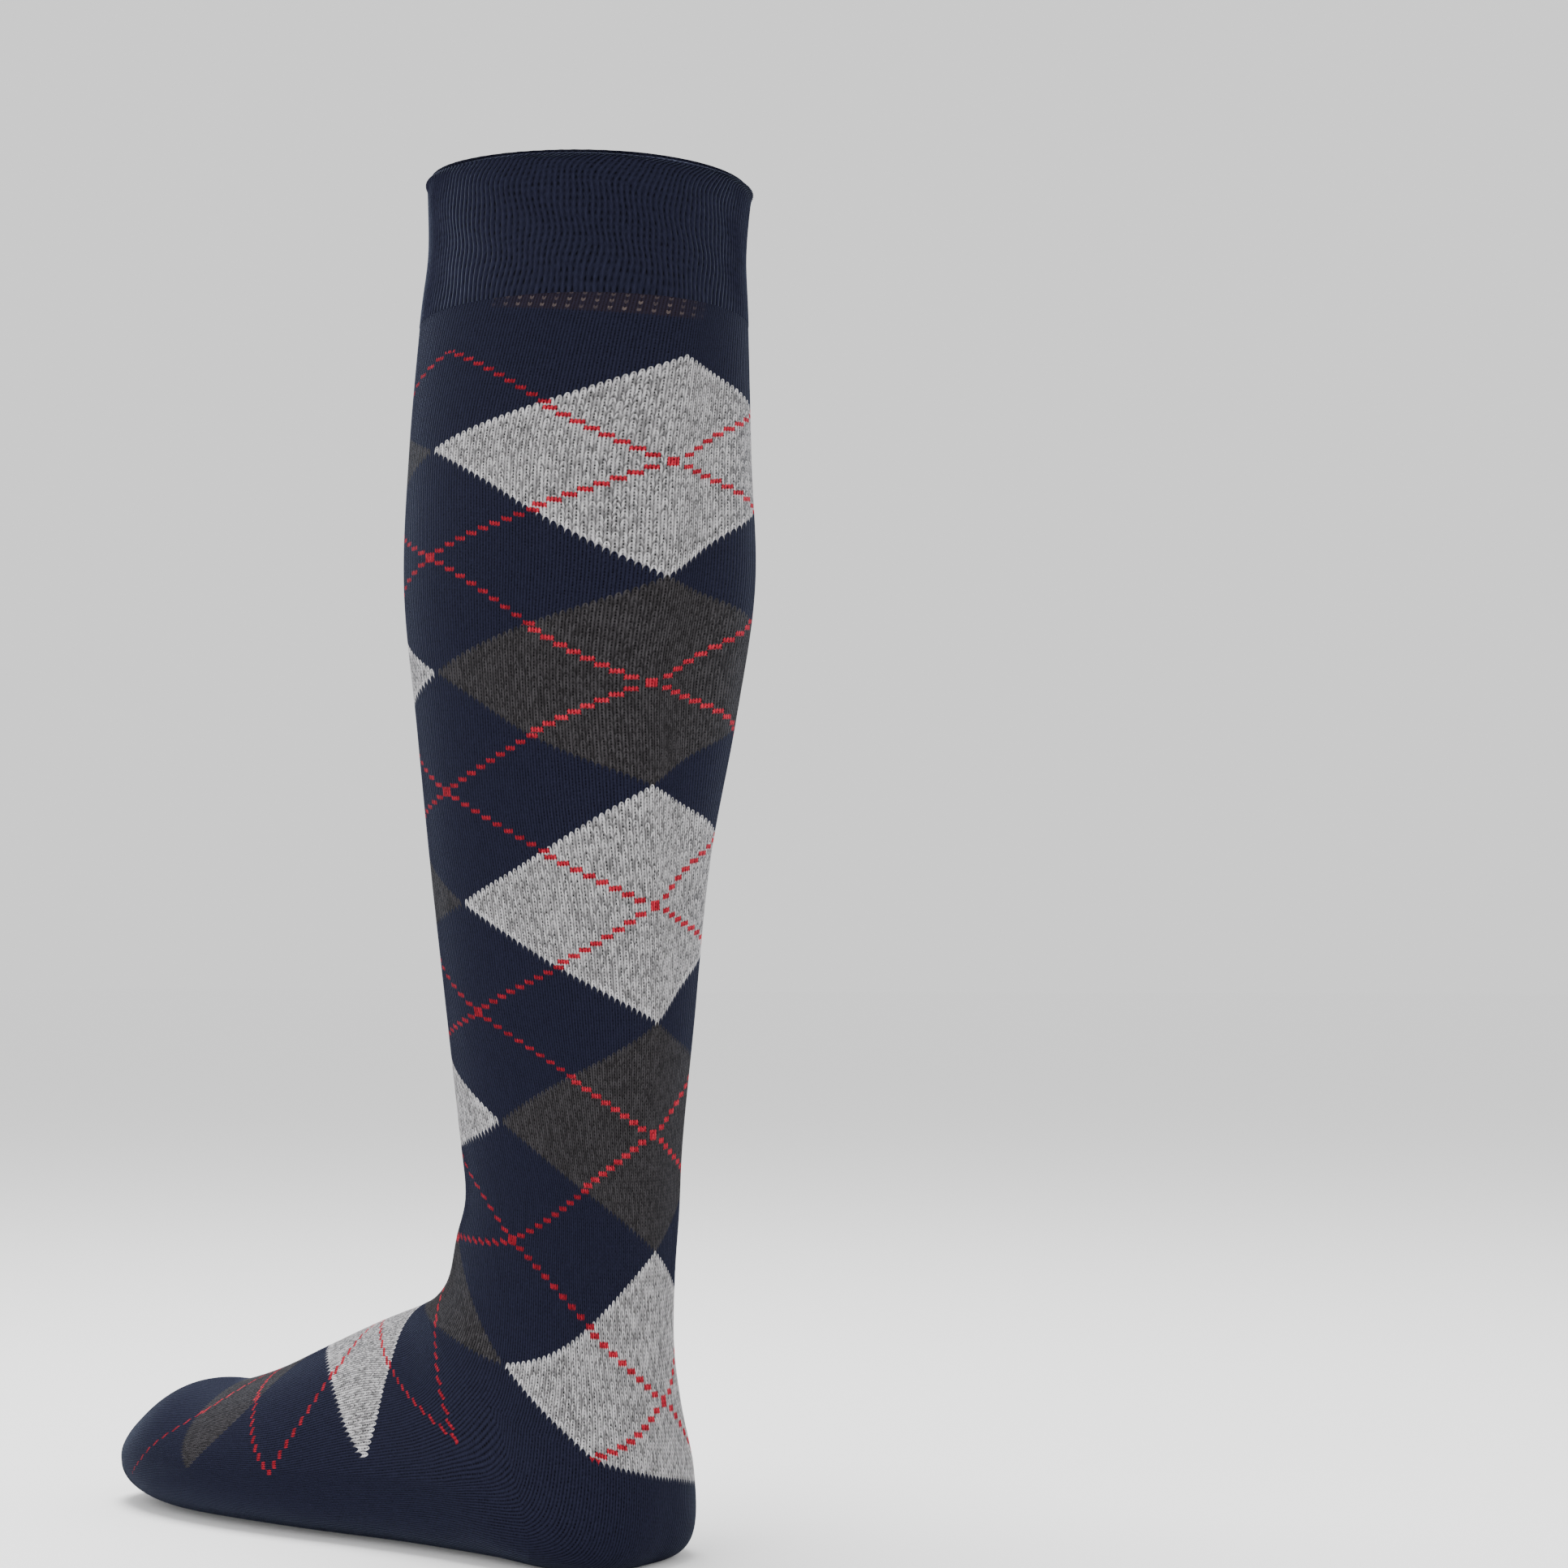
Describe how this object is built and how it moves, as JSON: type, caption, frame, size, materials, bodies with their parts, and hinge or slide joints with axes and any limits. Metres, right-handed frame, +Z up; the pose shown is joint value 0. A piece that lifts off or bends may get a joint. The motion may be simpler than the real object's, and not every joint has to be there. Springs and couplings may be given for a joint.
{
  "type": "knee sock",
  "caption": "Knee-high knitted sock for a left foot, its tube held open and upright as a leg fills it, with a diamond pattern, a plain double cuff, and a plain heel pocket and toe.",
  "frame": {"origin": "on the inner face of the sole under the middle of the leg, where the foot that fills the sock stands", "axes": "+Z up along the leg, -Y towards the toes, +X towards the outer side of the left foot"},
  "size_m": [0.1102, 0.255, 0.4438],
  "materials": {
    "cuff_knit": "matt fine-ribbed knit",
    "leg_knit": "matt fine knit with a diamond pattern",
    "heel_knit": "matt fine knit",
    "foot_knit": "matt fine knit with a diamond pattern",
    "toe_knit": "matt fine knit"
  },
  "bodies": {
    "root": {"cuff": "cuff_knit", "leg": "leg_knit", "heel": "heel_knit", "foot": "foot_knit", "toe": "toe_knit"}
  },
  "joints": []
}
